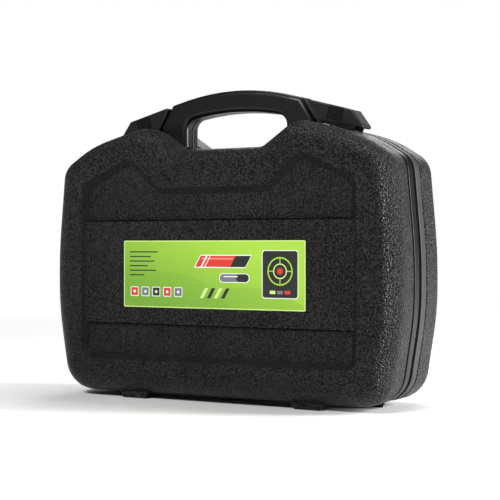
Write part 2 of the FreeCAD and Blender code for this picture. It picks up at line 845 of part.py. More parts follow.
housing = ring("HousingTube", "housingRadius", housingInner, "clipperX - housingRear", "housingRear")
switchHole = box("SwitchHole", "switchX",
                 "switchX + switchStart + switchLength + switchTravel + switchEnd",
                 "clipperY - housingRadius - 1", CY,
                 "clipperZ - switchWidth / 2", "clipperZ + switchWidth / 2")
brushHole = rod("BrushHole", "z", "brushRadius + runClear", "2 * housingRadius + 4", "brushX", CY,
                "clipperZ - housingRadius - 2")
grooves = []
for i in range(int(sizes["grooveCount"])):
    start = f"housingRear + grooveSetback + {i} * groovePitch"
    grooves.append(ring(f"GripGroove{i}", "housingRadius + 1", "housingRadius - grooveDepth",
                        "grooveWidth", start))
keep("motor_housing", cut("MotorHousing", housing, switchHole, brushHole, *grooves))

capX = "housingRear - capLength"
capBlank = rod("CapBlank", "x", "housingRadius", "capLength", capX, CY, CZ)


def rearEdge(edge):
    return abs(edge.BoundBox.XMin - number(capX)) < 1e-4 and abs(edge.BoundBox.XMax - number(capX)) < 1e-4


capSoft = softened("CapSoft", capBlank, "capRound", rearEdge)
capRoom = rod("CapRoom", "x", "housingRadius - capRound", "capLength", "housingRear - capLength + 4", CY, CZ)
bossStart = "housingRear - capLength + 3"
capBoss = ring("CapBoss", "bearingRadius + bossWall", "bearingRadius",
               f"rearBearingX + bearingLength - ({bossStart})", bossStart)
vents = []
for i in range(int(sizes["ventCount"])):
    vent = doc.addObject("Part::Box", f"Vent{i}")
    bind(vent, Length="2 * capLength", Width="ventWidth", Height="ventLength")
    around = Rotation(Vector(1, 0, 0), (i + 0.5) * 360 / sizes["ventCount"])
    vent.Placement = Placement(Vector(), around)
    bind(vent, Placement_Base_x=f"{capX} - capLength",
         Placement_Base_y=f"{CY} - ventWidth / 2 * cos({i + 0.5} * 360deg / ventCount)"
                          f" - ventPlace * sin({i + 0.5} * 360deg / ventCount)",
         Placement_Base_z=f"{CZ} - ventWidth / 2 * sin({i + 0.5} * 360deg / ventCount)"
                          f" + ventPlace * cos({i + 0.5} * 360deg / ventCount)")
    vents.append(vent)
glandHole = rod("GlandHole", "x", "glandRadius", "8", f"{capX} - 1", CY, CZ)
capCup = cut("CapCup", capSoft, capRoom, *vents)
keep("rear_cap", cut("RearCap", fuse("CapBody", capCup, capBoss), glandHole))

gland = fuse("GlandForm", taper("GlandTaper", "x", "glandTip", "glandRadius", "glandLength",
                                f"{capX} - glandLength", CY, CZ),
             rod("GlandPlug", "x", "glandRadius", "3", capX, CY, CZ))
glandBore = rod("GlandBore", "x", "glandTip - 1", "glandLength + 8", f"{capX} - glandLength - 1", CY, CZ)
keep("cord_gland", cut("CordGland", gland, glandBore))

keep("stator_core", ring("StatorCore", f"{housingInner} - pocketClear", "rotorRadius + airGap",
                         "statorLength", "statorRear"))

shaftRear = "rearBearingX + 1"
crankEnd = "crankX + crankThick"
armature = fuse(
    "Armature",
    rod("Rotor", "x", "rotorRadius", "statorLength + 6", "statorRear - 3", CY, CZ),
    rod("Shaft", "x", "shaftRadius", f"crankX - ({shaftRear})", shaftRear, CY, CZ),
    rod("CrankDisc", "x", "crankRadius", "crankThick", "crankX", CY, CZ),
    rod("CrankPin", "x", "crankPin", "crankPinLength", crankEnd, "clipperY - crankOffset", CZ),
)
keep("armature", armature)
for name, x in (("rear_bearing", "rearBearingX"), ("front_bearing", "frontBearingX")):
    keep(name, ring(name.title().replace("_", ""), "bearingRadius", "shaftRadius + runClear",
                    "bearingLength", x))

brushLow = rod("BrushCapLow", "z", "brushRadius", "housingWall + brushProud", "brushX", CY,
               "clipperZ - housingRadius - brushProud")
brushHigh = rod("BrushCapHigh", "z", "brushRadius", "housingWall + brushProud", "brushX", CY,
                "clipperZ + housingRadius - housingWall")
keep("brush_caps", group("BrushCaps", brushLow, brushHigh))

switchTop = "clipperY - housingRadius - switchProud"
slider = box("SliderKnob", "switchX + switchStart", "switchX + switchStart + switchLength", switchTop,
             "clipperY - housingRadius + housingWall - slideClear",
             "clipperZ - switchWidth / 2 + slideClear", "clipperZ + switchWidth / 2 - slideClear")
sliderGrip = [box(f"SliderGrip{i}", f"switchX + 6 + {i} * 3", f"switchX + 7.2 + {i} * 3", f"{switchTop} - 1",
                  f"{switchTop} + 0.7", "clipperZ - switchWidth", "clipperZ + switchWidth") for i in range(4)]
keep("switch_slider", cut("SwitchSlider", slider, *sliderGrip))

# ---- clipper: gear head --------------------------------------------------------------------------

headOuter = taper("HeadOuter", "x", "housingRadius", "headNose", "headLength", "clipperX", CY, CZ)
headInner = taper("HeadInner", "x", "housingRadius - headWall", "headNose - headWall", "headLength + 0.01",
                  "clipperX", CY, CZ)
headShell = cut("HeadShell", headOuter, headInner)
headWeb = rod("HeadWeb", "x", "housingRadius - headWall / 2", "webThick", "clipperX", CY, CZ)
tower = rod("Tower", "y", "towerRadius", "towerInside - towerTop", "pivotX", "towerTop", CZ)
bed = box("Bed", "bedStart", "bedEnd", "bedY", "bedY + bedThick", "clipperZ - bedHalf", "clipperZ + bedHalf")
forkFloor = "forkY + forkThick + slideClear"
pivotBoss = rod("PivotBoss", "y", "forkBoss", f"bedY + 1 - ({forkFloor})", "pivotX", forkFloor, CZ)
headForm = fuse("HeadForm", headShell, headWeb, tower, bed, pivotBoss)
screwHoles = [rod(f"BedHole{i}", "y", "screwRadius", "bedThick + 2", "screwX", "bedY - 1",
                  f"clipperZ + {hand} * screwReach") for i, hand in enumerate((-1, 1))]
headCuts = [
    rod("FrontBearingSeat", "x", "bearingRadius", "webThick + 2", "frontBearingX", CY, CZ),
    rod("ShaftHole", "x", "shaftRadius + 1", "webThick", "clipperX - 1", CY, CZ),
    rod("TensionBore", "y", "tensionRadius", "towerInside - towerTop + 2", "pivotX", "towerTop - 1", CZ),
    rod("PivotBore", "y", "pivotRadius", "bedY - forkY", "pivotX", "forkY", CZ),
    *screwHoles,
]
keep("gear_head", cut("GearHead", headForm, *headCuts))

knobFace = "towerTop - slideClear"
knobBlank = rod("KnobBlank", "y", "knobRadius", "knobHeight", "pivotX", f"{knobFace} - knobHeight", CZ)
knobCuts = [rod("KnobBore", "y", "tensionRadius + runClear", "pinDepthInKnob + 1", "pivotX",
                f"{knobFace} - pinDepthInKnob", CZ)]
for i in range(int(sizes["knobFlutes"])):
    angle = f"{i} * 360deg / knobFlutes"
    knobCuts.append(rod(f"KnobFlute{i}", "y", "knobFlute", "knobHeight + 2",
                        f"pivotX + (knobRadius + knobFlute / 3) * cos({angle})",
                        f"{knobFace} - knobHeight - 1",
                        f"clipperZ + (knobRadius + knobFlute / 3) * sin({angle})"))
keep("tension_knob", cut("TensionKnob", knobBlank, *knobCuts))
tensionTop = f"{knobFace} - pinDepthInKnob + slideClear"
keep("tension_pin", rod("TensionPin", "y", "tensionRadius", f"forkY - slideClear - ({tensionTop})", "pivotX",
                        tensionTop, CZ))
keep("fork_pivot_pin", rod("ForkPivotPin", "y", "pivotRadius", "bedY - forkY - slideClear", "pivotX",
                           "forkY + slideClear", CZ))

forkY0 = "forkY"
forkY1 = "forkY + forkThick"
forkParts = [
    box("ForkArm", "forkRear", "barStart + 2", forkY0, forkY1, "clipperZ - forkHalfWidth",
        "clipperZ + forkHalfWidth"),
    box("ForkYoke", "forkRear", "forkRear + yokeLength", forkY0, forkY1, "clipperZ - yokeHalf",
        "clipperZ + yokeHalf"),
    rod("ForkBoss", "y", "forkBoss", "forkThick", "pivotX", forkY0, CZ),
    box("ForkBar", "barStart", "barStart + barLength", forkY0, forkY1, "clipperZ - barHalf",
        "clipperZ + barHalf"),
]
cutterY0 = "bedY - combThick - slideClear - cutterThick"
for i in range(4):
    middle = f"clipperZ + ({i} - 1.5) * fingerPitch"
    forkParts.append(box(f"ForkFinger{i}",
                         "barStart + barLength - 6", "barStart + barLength + fingerLength",
                         f"{forkY1} - 3", cutterY0, f"{middle} - fingerWidth / 2",
                         f"{middle} + fingerWidth / 2"))
forkCuts = [
    box("YokeSlot", "forkRear - 1", "forkRear + yokeLength - 3", "forkY - 1", f"{forkY1} + 1",
        "clipperZ - yokeSlot", "clipperZ + yokeSlot"),
    rod("ForkBore", "y", "pivotRadius + runClear", "forkThick + 2", "pivotX", "forkY - 1", CZ),
]
keep("drive_fork", cut("DriveFork", fuse("ForkForm", *forkParts), *forkCuts))


def toothed(name, start, plate, half, y0, thick, tooth, root, tip, count):
    parts = [box(name + "Plate", start, f"{start} + {plate}", y0, f"{y0} + {thick}",
                 f"clipperZ - {half}", f"clipperZ + {half}")]
    teeth = int(sizes[count])
    for i in range(teeth):
        share = f"({i} * 2 / ({count} - 1) - 1)"
        parts.append(wedge(f"{name}Tooth{i}", f"{start} + {plate}", f"{start} + {plate} + {tooth}",
                           y0, f"{y0} + {thick}", root, tip,
                           f"clipperZ + {share} * ({half} - {root} / 2)"))
    return fuse(name + "Form", *parts)


combY = "bedY - combThick"
combForm = toothed("Comb", "combStart", "combPlate", "combHalf", combY, "combThick", "combTooth",
                   "combToothRoot", "combToothTip", "combTeeth")
combHoles = [rod(f"CombHole{i}", "y", "screwRadius", "combThick + 2", "screwX", f"{combY} - 1",
                 f"clipperZ + {hand} * screwReach") for i, hand in enumerate((-1, 1))]
keep("comb", cut("CombPlateCut", combForm, *combHoles))
keep("cutter", toothed("Cutter", "cutterStart", "cutterPlate", "cutterHalf", cutterY0, "cutterThick",
                       "cutterTooth", "cutterToothRoot", "cutterToothTip", "cutterTeeth"))

screws = []
for i, hand in enumerate((-1, 1)):
    z = f"clipperZ + {hand} * screwReach"
    shank = rod(f"ScrewShank{i}", "y", "screwRadius", "combThick + screwGrip", "screwX", combY, z)
    head = rod(f"ScrewHead{i}", "y", "screwHead", "screwHeadThick", "screwX", f"{combY} - screwHeadThick", z)
    slot = box(f"ScrewSlot{i}", "screwX - screwHead", "screwX + screwHead", f"{combY} - screwHeadThick - 1",
               f"{combY} - screwHeadThick + 1", f"{z} - 0.6", f"{z} + 0.6")
    screws.append(cut(f"Screw{i}", fuse(f"ScrewForm{i}", shank, head), slot))
keep("comb_screws", group("CombScrews", *screws))

# ---- oil bottle, cleaning brush and screwdriver --------------------------------------------------

ALONG = Rotation()
toolY = "toolPocketDepth - pocketClear"
bottleEnd = "bottleLength + neckLength"
bottleProfile = [
    ("0", "0", "0"),
    ("0", "bottleRadius", "3"),
    ("bottleLength - bottleShoulder", "bottleRadius", "4"),
    ("bottleLength", "neckRadius", "1"),
    (bottleEnd, "neckRadius", "0"),
    (bottleEnd, "neckRadius - bottleWall", "0"),
    ("bottleLength - bottleWall", "neckRadius - bottleWall", "0"),
    ("bottleLength - bottleShoulder - bottleWall", "bottleRadius - bottleWall", "0"),
    ("bottleWall", "bottleRadius - bottleWall", "0"),
    ("bottleWall", "0", "0"),
]
keep("oil_bottle", spun("OilBottle", bottleProfile, ALONG, "toolStart", f"{toolY} - bottleRadius", "bottleZ"))
capInner = "neckRadius + slideClear"
capProfile = [
    ("bottleLength + 2", capInner, "0"),
    ("bottleLength + 2", f"{capInner} + capWall", "0"),
    ("bottleLength + 2 + capHeight", f"{capInner} + capWall", "2"),
    ("bottleLength + 2 + capHeight", "0", "0"),
    (f"{bottleEnd} + slideClear", "0", "0"),
    (f"{bottleEnd} + slideClear", capInner, "0"),
]
keep("bottle_cap", spun("BottleCap", capProfile, ALONG, "toolStart", f"{toolY} - bottleRadius", "bottleZ"))

brushOutline = [
    ("toolStart", "brushZ - brushHalfWidth", "brushCorner"),
    ("toolStart + brushLength", "brushZ - brushHalfWidth", "3"),
    ("toolStart + brushLength", "brushZ + brushHalfWidth", "3"),
    ("toolStart", "brushZ + brushHalfWidth", "brushCorner"),
]
brush = body("BrushHandle")
brushPad = brush.newObject("PartDesign::Pad", "BrushPad")
brushPad.Profile = bodySketch(brush, "BrushOutline", "XZ_Plane", brushOutline)
bind(brushPad, Length="brushThick")
bind(brush, Placement_Base_y=toolY)
keep("brush_handle", brush)
tufts = []
for row in (-1, 1):
    for i in range(int(sizes["tuftCount"])):
        tufts.append(taper(f"Tuft{row + 1}{i}", "y", "tuftRadius * 1.25", "tuftRadius", "tuftLength",
                           f"toolStart + brushLength - 6 - {i} * tuftPitch",
                           f"{toolY} - brushThick - tuftLength", f"brushZ + {row} * tuftSpread"))
keep("brush_tufts", group("BrushTufts", *tufts))

driver = body("DriverHandle")
driverPad = driver.newObject("PartDesign::Pad", "DriverPad")
driverPad.Profile = roundSketch(driver, "DriverRound", "YZ_Plane", "0", "0", "gripRadius")
bind(driverPad, Length="gripLength")
doc.recompute()
flute = driver.newObject("PartDesign::Pocket", "DriverFlute")
flute.Profile = roundSketch(driver, "FluteRound", "YZ_Plane", "gripRadius + gripFlute / 2", "0", "gripFlute")
flute.Reversed = True
bind(flute, Length="gripLength - 8")
doc.recompute()
flutes = driver.newObject("PartDesign::PolarPattern", "DriverFlutes")
flutes.Originals = [flute]
flutes.Axis = (bodyPlane(driver, "X_Axis"), [""])
flutes.Angle = 360
bind(flutes, Occurrences="gripFlutes")
driver.Tip = flutes
bladeY = f"{toolY} - gripRadius"
bind(driver, Placement_Base_x="toolStart", Placement_Base_y=bladeY, Placement_Base_z="driverZ")
keep("screwdriver_handle", driver)
bladeX = "toolStart + gripLength"
blade = rod("BladeRound", "x", "bladeRadius", "bladeLength", bladeX, bladeY, "driverZ")
tipX = f"{bladeX} + bladeLength - bladeTipLength"
tipCuts = []
for hand in (-1, 1):
    edge = f"driverZ + {hand} * (bladeTip / 2 + 2)"
    tipCuts.append(box(f"BladeFlat{hand + 1}", tipX, f"{tipX} + bladeTipLength + 1", f"{bladeY} - bladeRadius",
                       f"{bladeY} + bladeRadius", f"{edge} - 2", f"{edge} + 2"))
keep("screwdriver_blade", cut("DriverBlade", blade, *tipCuts))

# ---- check and write -----------------------------------------------------------------------------

doc.recompute()
for item in doc.Objects:
    bad = [state for state in item.State if state in ("Invalid", "Error")]
    if bad:
        raise RuntimeError(f"{item.Name} is {bad}")

os.makedirs("parts", exist_ok=True)
for name, item in nodes.items():
    shape = item.Shape
    if shape.isNull() or not shape.isValid():
        raise RuntimeError(f"{name} has no valid shape")
    shape.exportStep(os.path.join("parts", name + ".step"))
    print(name, len(shape.Solids), "solid(s)", round(shape.Volume / 1000, 2), "cm3")
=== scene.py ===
import bpy
import bmesh
import json
import math
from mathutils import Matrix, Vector


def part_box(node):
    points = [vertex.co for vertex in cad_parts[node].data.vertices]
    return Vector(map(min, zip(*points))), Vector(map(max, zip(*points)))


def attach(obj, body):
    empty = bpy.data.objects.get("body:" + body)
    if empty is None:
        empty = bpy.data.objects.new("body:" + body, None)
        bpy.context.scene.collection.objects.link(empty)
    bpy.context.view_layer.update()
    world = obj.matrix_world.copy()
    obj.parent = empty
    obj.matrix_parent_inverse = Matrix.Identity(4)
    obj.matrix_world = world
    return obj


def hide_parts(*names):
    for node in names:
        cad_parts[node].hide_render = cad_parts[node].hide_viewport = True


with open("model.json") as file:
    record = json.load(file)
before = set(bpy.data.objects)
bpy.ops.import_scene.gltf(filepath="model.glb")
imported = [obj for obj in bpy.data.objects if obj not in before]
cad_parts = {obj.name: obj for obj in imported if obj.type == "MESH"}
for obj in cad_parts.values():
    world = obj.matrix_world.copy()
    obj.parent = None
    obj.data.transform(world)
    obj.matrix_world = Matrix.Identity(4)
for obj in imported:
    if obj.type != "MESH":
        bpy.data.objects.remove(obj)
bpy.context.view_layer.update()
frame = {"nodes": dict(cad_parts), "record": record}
nodes = frame["nodes"]
bodyOf = {node: name for name, members in frame["record"]["behaviour"]["bodies"].items() for node in members}
print("frame loaded:", len(nodes), "nodes")

# shader building


def newMaterial(name):
    material = bpy.data.materials.new(name)
    material.use_nodes = True
    tree = material.node_tree
    shader = tree.nodes["Principled BSDF"]
    place = tree.nodes.new("ShaderNodeTexCoord").outputs["Object"]
    return material, tree, shader, place


def stretched(tree, place, scale):
    # object coordinates stretched along an axis, for brushed metal and wood
    node = tree.nodes.new("ShaderNodeMapping")
    node.inputs["Scale"].default_value = scale
    tree.links.new(place, node.inputs["Vector"])
    return node.outputs["Vector"]


def noise(tree, place, scale, detail=2.0, roughness=0.5):
    node = tree.nodes.new("ShaderNodeTexNoise")
    node.inputs["Scale"].default_value = scale
    node.inputs["Detail"].default_value = detail
    node.inputs["Roughness"].default_value = roughness
    tree.links.new(place, node.inputs["Vector"])
    return node.outputs["Fac"]


def pebbles(tree, place, scale):
    # distance from the middle of the nearest of many rounded cells
    node = tree.nodes.new("ShaderNodeTexVoronoi")
    node.feature = "SMOOTH_F1"
    node.inputs["Scale"].default_value = scale
    node.inputs["Smoothness"].default_value = 0.6
    tree.links.new(place, node.inputs["Vector"])
    return node.outputs["Distance"]


def ramp(tree, value, stops):
    node = tree.nodes.new("ShaderNodeValToRGB")
    elements = node.color_ramp.elements
    while len(elements) < len(stops):
        elements.new(0.5)
    for element, (where, colour) in zip(elements, stops):
        element.position = where
        element.color = (*colour, 1)
    tree.links.new(value, node.inputs["Fac"])
    return node.outputs["Color"]


def grey(level):
    return (level, level, level)


def maths(tree, operation, first, second=None, third=None):
    node = tree.nodes.new("ShaderNodeMath")
    node.operation = operation
    for socket, value in zip(node.inputs, (first, second, third)):
        if value is None:
            continue
        if isinstance(value, (int, float)):
            socket.default_value = value
        else:
            tree.links.new(value, socket)
    return node.outputs[0]


def bump(tree, shader, height, strength, distance, under=None):
    node = tree.nodes.new("ShaderNodeBump")
    node.inputs["Strength"].default_value = strength
    node.inputs["Distance"].default_value = distance
    tree.links.new(height, node.inputs["Height"])
    if under is not None:
        tree.links.new(under, node.inputs["Normal"])
    tree.links.new(node.outputs["Normal"], shader.inputs["Normal"])
    return node.outputs["Normal"]


def mouldedPlastic(name, dark, light, rough, grain, depth, specular=0.5):
    # plastic with a pebbled grain: grain is pebbles per metre, depth their height,
    # light the tone of a painted highlight on the pebbles' tops and dark the tone of painted shade between
    # them
    material, tree, shader, place = newMaterial(name)
    wobble = noise(tree, place, grain * 0.6, 2.0, 0.5)
    stone = pebbles(tree, place, grain)
    fine = noise(tree, place, grain * 1.05, 2.0, 0.6)
    wide = noise(tree, place, 17, 3.0)
    rise = maths(tree, "SUBTRACT", maths(tree, "MULTIPLY", wobble, 0.9), maths(tree, "MULTIPLY", stone, 0.7))
    paintedGlintsAndTone = maths(tree, "MULTIPLY_ADD", stone, -0.2, maths(tree, "MULTIPLY_ADD", wobble, 0.2, fine))
    paintedGlintsAndTone = maths(tree, "MULTIPLY_ADD", wide, 0.1, paintedGlintsAndTone)
    # the pebbles' tops are painted lighter as a highlight and the hollows between them darker as shade, with
    # some random tone
    tree.links.new(ramp(tree, paintedGlintsAndTone, [(0.52, dark), (0.6, light)]), shader.inputs["Base Color"])
    patchy = maths(tree, "MULTIPLY_ADD", noise(tree, place, 55, 3.0), 0.2, rough - 0.1)
    tree.links.new(patchy, shader.inputs["Roughness"])
    shader.inputs["Specular IOR Level"].default_value = specular
    low = bump(tree, shader, rise, 1.0, depth)
    bump(tree, shader, fine, 0.6, depth * 0.35, low)
    return material


def metal(name, colour, rough, stretch, streak, depth):
    material, tree, shader, place = newMaterial(name)
    line = stretched(tree, place, stretch)
    streaks = noise(tree, line, streak, 4.0, 0.65)
    shade = [tuple(c * k for c in colour) for k in (0.72, 1.0)]
    tree.links.new(ramp(tree, streaks, [(0.25, shade[0]), (0.75, shade[1])]), shader.inputs["Base Color"])
    shader.inputs["Metallic"].default_value = 1.0
    tree.links.new(maths(tree, "MULTIPLY_ADD", streaks, 0.25, rough - 0.1), shader.inputs["Roughness"])
    bump(tree, shader, streaks, 0.3, depth)
    return material


def softPlastic(name, colour, rough, peel, specular=0.5):
    # plain coloured plastic with a slight orange peel and handling marks
    material, tree, shader, place = newMaterial(name)
    cloud = noise(tree, place, 22, 4.0, 0.6)
    shade = [tuple(c * k for c in colour) for k in (0.82, 1.08)]
    tree.links.new(ramp(tree, cloud, [(0.3, shade[0]), (0.7, shade[1])]), shader.inputs["Base Color"])
    marks = noise(tree, stretched(tree, place, (1.0, 1.0, 3.5)), 160, 5.0, 0.7)
    tree.links.new(maths(tree, "MULTIPLY_ADD", marks, 0.2, rough - 0.1), shader.inputs["Roughness"])
    shader.inputs["Specular IOR Level"].default_value = specular
    bump(tree, shader, noise(tree, place, 420, 2.0), peel, 0.0002)
    return material


finish = {
    "case": mouldedPlastic("PebbleGrain", dark=grey(0.0002), light=grey(0.03), rough=0.32,
                           grain=640, depth=0.003, specular=0.17),
    # the recess's slopes: a finer grain, painted darker as shade
    "panelSlope": mouldedPlastic("PanelSlopePaintedShade", dark=grey(0.0004), light=grey(0.016), rough=0.42,
                                 grain=900, depth=0.0008, specular=0.15),
    "panelFloor": mouldedPlastic("PanelFloor", dark=grey(0.0002), light=grey(0.027), rough=0.34,
                                 grain=720, depth=0.0022, specular=0.17),
    # one smooth rim plastic in two copies: darker on the lid as painted shade, lighter on the base as painted
    # light
    "rim": softPlastic("LidRimPaintedShade", grey(0.003), rough=0.34, peel=0.15, specular=0.2),
    "litBaseRim": softPlastic("BaseRimPaintedLight", grey(0.024), rough=0.44, peel=0.15, specular=0.25),
    # near-black painted shade for the seam's groove, the notch, the band's creases and between the latch's
    # ribs
    "seam": softPlastic("SeamShade", grey(0.0008), rough=0.6, peel=0.15, specular=0.04),
    "handle": softPlastic("HandlePlastic", grey(0.004), rough=0.36, peel=0.25, specular=0.32),
    "latch": softPlastic("LatchPlastic", grey(0.009), rough=0.32, peel=0.15, specular=0.4),
    "tray": mouldedPlastic("TrayPlastic", dark=grey(0.014), light=grey(0.024), rough=0.52,
                           grain=500, depth=0.0002),
    "red": softPlastic("HousingRed", (0.56, 0.03, 0.018), rough=0.34, peel=0.25),
    "dark": softPlastic("DarkPlastic", grey(0.018), rough=0.45, peel=0.3),
    "rubber": mouldedPlastic("GlandRubber", dark=grey(0.012), light=grey(0.02), rough=0.7,
                             grain=1400, depth=0.00005),
    "steel": metal("GroundSteel", (0.62, 0.62, 0.63), rough=0.32, stretch=(1.0, 1.0, 14.0),
                   streak=90, depth=0.00004),
    "cast": metal("CastAluminium", (0.72, 0.72, 0.74), rough=0.46, stretch=(1.0, 1.0, 1.0),
                  streak=420, depth=0.0001),
    "milky": softPlastic("MilkyPlastic", (0.78, 0.79, 0.74), rough=0.42, peel=0.2),
}
print("finishes made:", len(finish))


def woodFinish():
    material, tree, shader, place = newMaterial("BrushWood")
    grain = noise(tree, stretched(tree, place, (1.0, 9.0, 9.0)), 70, 5.0, 0.62)
    colours = [(0.3, (0.36, 0.2, 0.09)), (0.7, (0.62, 0.42, 0.22))]
    tree.links.new(ramp(tree, grain, colours), shader.inputs["Base Color"])
    shader.inputs["Roughness"].default_value = 0.5
    bump(tree, shader, grain, 0.3, 0.0001)
    return material


def bristleFinish():
    material, tree, shader, place = newMaterial("Bristle")
    hair = noise(tree, stretched(tree, place, (1.0, 0.06, 1.0)), 2600, 2.0)
    tree.links.new(ramp(tree, hair, [(0.35, (0.28, 0.22, 0.13)), (0.65, (0.75, 0.66, 0.46))]),
                   shader.inputs["Base Color"])
    shader.inputs["Roughness"].default_value = 0.7
    bump(tree, shader, hair, 0.8, 0.0003)
    return material


finish["wood"] = woodFinish()
finish["bristle"] = bristleFinish()

# pieces taken from the frame

panel = {                     # the recessed panel's opening, right half, and its levels, in metres
    "corners": [(0.1555, 0.04), (0.1555, 0.217), (0.097, 0.2445), (0.060, 0.2125)],
    "frameDepth": 0.0594,     # beyond this the frame face is flat
    "bandDepth": 0.0578,
    "floorDepth": 0.0541,
    "band": (0.0768, 0.1794),
    "shadeLineWidth": 0.0013,         # width of the painted shade line along the band's edges
    "rimStart": 0.003,        # nearer the seam than this lies the groove, painted in shade
    "lidRimEnd": 0.0137,
    "lidWall": 0.0174,        # the grained wall starts here
    "baseWall": 0.0149,
    "slack": 0.0001,          # a face this near to a level counts as on it
    "floorSlack": 0.0004,
    "flat": 0.98,             # how squarely a face looks front or back: flat, or at least sloping
    "sloping": 0.3,
}


def insidePanel(x, z):
    # counts the outline's edges to the right of the point
    x = abs(x)
    right = panel["corners"]
    corners = [(0.0, right[0][1]), *right, (0.0, right[-1][1])]
    inside = False
    for (x0, z0), (x1, z1) in zip(corners, corners[1:] + corners[:1]):
        if (z0 > z) != (z1 > z) and x < (x1 - x0) * (z - z0) / (z1 - z0) + x0:
            inside = not inside
    return inside


welding = {
    "gap": 2e-6,              # points nearer than this become one
    "sharpest": 28,           # degrees, an edge that turns more stays sharp
    "weight": 90,
}


def copyOf(node, pieceName):
    # a welded copy of a CAD node's mesh, smooth except where two faces meet sharply
    mesh = nodes[node].data.copy()
    mesh.name = pieceName
    bm = bmesh.new()
    bm.from_mesh(mesh)
    bmesh.ops.remove_doubles(bm, verts=bm.verts, dist=welding["gap"])
    for face in bm.faces:
        face.smooth = True
    sharpest = math.radians(welding["sharpest"])
    for edge in bm.edges:
        edge.smooth = len(edge.link_faces) == 2 and edge.calc_face_angle(0) < sharpest
    bm.to_mesh(mesh)
    bm.free()
    mesh.materials.clear()
    piece = bpy.data.objects.new(pieceName, mesh)
    bpy.context.scene.collection.objects.link(piece)
    weighted = piece.modifiers.new("faceWeights", "WEIGHTED_NORMAL")
    weighted.keep_sharp = True
    weighted.weight = welding["weight"]
    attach(piece, bodyOf[node])
    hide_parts(node)
    return piece


def panelLook(face, low, high):
    # the finish of a face within the recessed panel, or None where it keeps the case's grain
    z = face.center.z
    depth = abs(face.center.y)
    squareness = abs(face.normal.y)
    if depth <= panel["floorDepth"] - panel["floorSlack"] or squareness <= panel["sloping"]:
        return None
    # a thin line of painted shade along each of the band's edges
    if low - panel["shadeLineWidth"] < z < low or high < z < high + panel["shadeLineWidth"]:
        return "seam"
    if depth < panel["floorDepth"] + panel["slack"]:
        return "panelFloor"
    # the recess's slopes get a darker copy of the grain, as painted shade
    if depth < panel["bandDepth"] - panel["slack"] or squareness < panel["flat"]:
        return "panelSlope"
    return None


def cutShadeLines(mesh, low, high):
    # divides the panel's floor along the band's edges, so that the painted shade lines end cleanly
    bm = bmesh.new()
    bm.from_mesh(mesh)
    shallowest = panel["floorDepth"] - panel["floorSlack"]
    for level in (low - panel["shadeLineWidth"], high + panel["shadeLineWidth"]):
        floor = [face for face in bm.faces
                 if shallowest < abs(face.calc_center_median().y) < panel["bandDepth"]
                 and abs(face.normal.y) > panel["flat"]]
        edges = {edge for face in floor for edge in face.edges}
        verts = {vert for face in floor for vert in face.verts}
        bmesh.ops.bisect_plane(bm, geom=[*verts, *edges, *floor], plane_co=(0, 0, level), plane_no=(0, 0, 1))
    bm.to_mesh(mesh)
    bm.free()


def caseShell(node, pieceName, rimFinish, rimEnd, wallStart):
    # from the seam outwards: a groove in painted shade, the smooth rim, a notch in painted shade and the
    # grained wall
    piece = copyOf(node, pieceName)
    mesh = piece.data
    looks = ["case", "panelSlope", "panelFloor", rimFinish, "seam"]
    for name in looks:
        mesh.materials.append(finish[name])
    low, high = panel["band"]
    cutShadeLines(mesh, low, high)
    for face in mesh.polygons:
        depth = abs(face.center.y)
        look = None
        # the groove at the seam and the notch beyond the rim are painted in shade
        if depth < panel["rimStart"] + panel["slack"] or rimEnd - panel["slack"] < depth < wallStart:
            look = "seam"
        elif depth < wallStart:
            look = rimFinish
        elif insidePanel(face.center.x, face.center.z):
            look = panelLook(face, low, high)
        if look:
            face.material_index = looks.index(look)
    print(pieceName, "dressed")


latchLook = {
    "slope": 15.01,           # degrees, the way that each latch slides
    "start": (0.0924, 0.27598),
    "skirtEnd": 0.04,
    "skirtStep": 0.0006,      # the skirt ends within this
    # points lower than this are let down: at the start, and more per metre along
    "lowerEdge": (0.0004, 0.06),
    "drop": (0.0014, 0.057),  # how far they are let down, in the same way
    "shadedRibFaces": (-0.0104, 0.0094),
    "slack": 0.0002,
    "flat": 0.9,
}


def latch(node, pieceName, hand):
    # the latch with its skirt let down to the shoulder and painted shade between its ribs
    piece = copyOf(node, pieceName)
    mesh = piece.data
    mesh.materials.append(finish["latch"])
    mesh.materials.append(finish["seam"])
    turn = math.radians(latchLook["slope"])
    along = Vector((hand * math.cos(turn), 0, -math.sin(turn)))
    up = Vector((hand * math.sin(turn), 0, math.cos(turn)))
    start = Vector((hand * latchLook["start"][0], 0, latchLook["start"][1]))
    skirtEnd = latchLook["skirtEnd"]
    bm = bmesh.new()
    bm.from_mesh(mesh)
    for reach in (skirtEnd, skirtEnd + latchLook["skirtStep"]):
        everything = [*bm.verts, *bm.edges, *bm.faces]
        bmesh.ops.bisect_plane(bm, geom=everything, plane_co=start + along * reach, plane_no=along)
    edgeStart, edgeSlope = latchLook["lowerEdge"]
    dropStart, dropSlope = latchLook["drop"]
    for vert in bm.verts:
        reach = (vert.co - start).dot(along)
        rise = (vert.co - start).dot(up)
        if reach < skirtEnd + latchLook["slack"] and rise < max(reach, 0) * edgeSlope + edgeStart:
            vert.co -= up * (dropStart + dropSlope * max(reach, 0))
    for face in bm.faces:
        y = face.calc_center_median().y
        nearest = min(abs(y - ribFace) for ribFace in latchLook["shadedRibFaces"])
        # the flat faces between the ribs are painted in shade
        if abs(face.normal.y) > latchLook["flat"] and nearest < latchLook["slack"]:
            face.material_index = 1
    bm.to_mesh(mesh)
    bm.free()
    print(pieceName, "dressed")


latch("right_latch", "rightLatch", 1)
latch("left_latch", "leftLatch", -1)
caseShell("front_shell", "frontShell", "rim", panel["lidRimEnd"], panel["lidWall"])
caseShell("back_shell", "backShell", "litBaseRim", panel["baseWall"], panel["baseWall"])

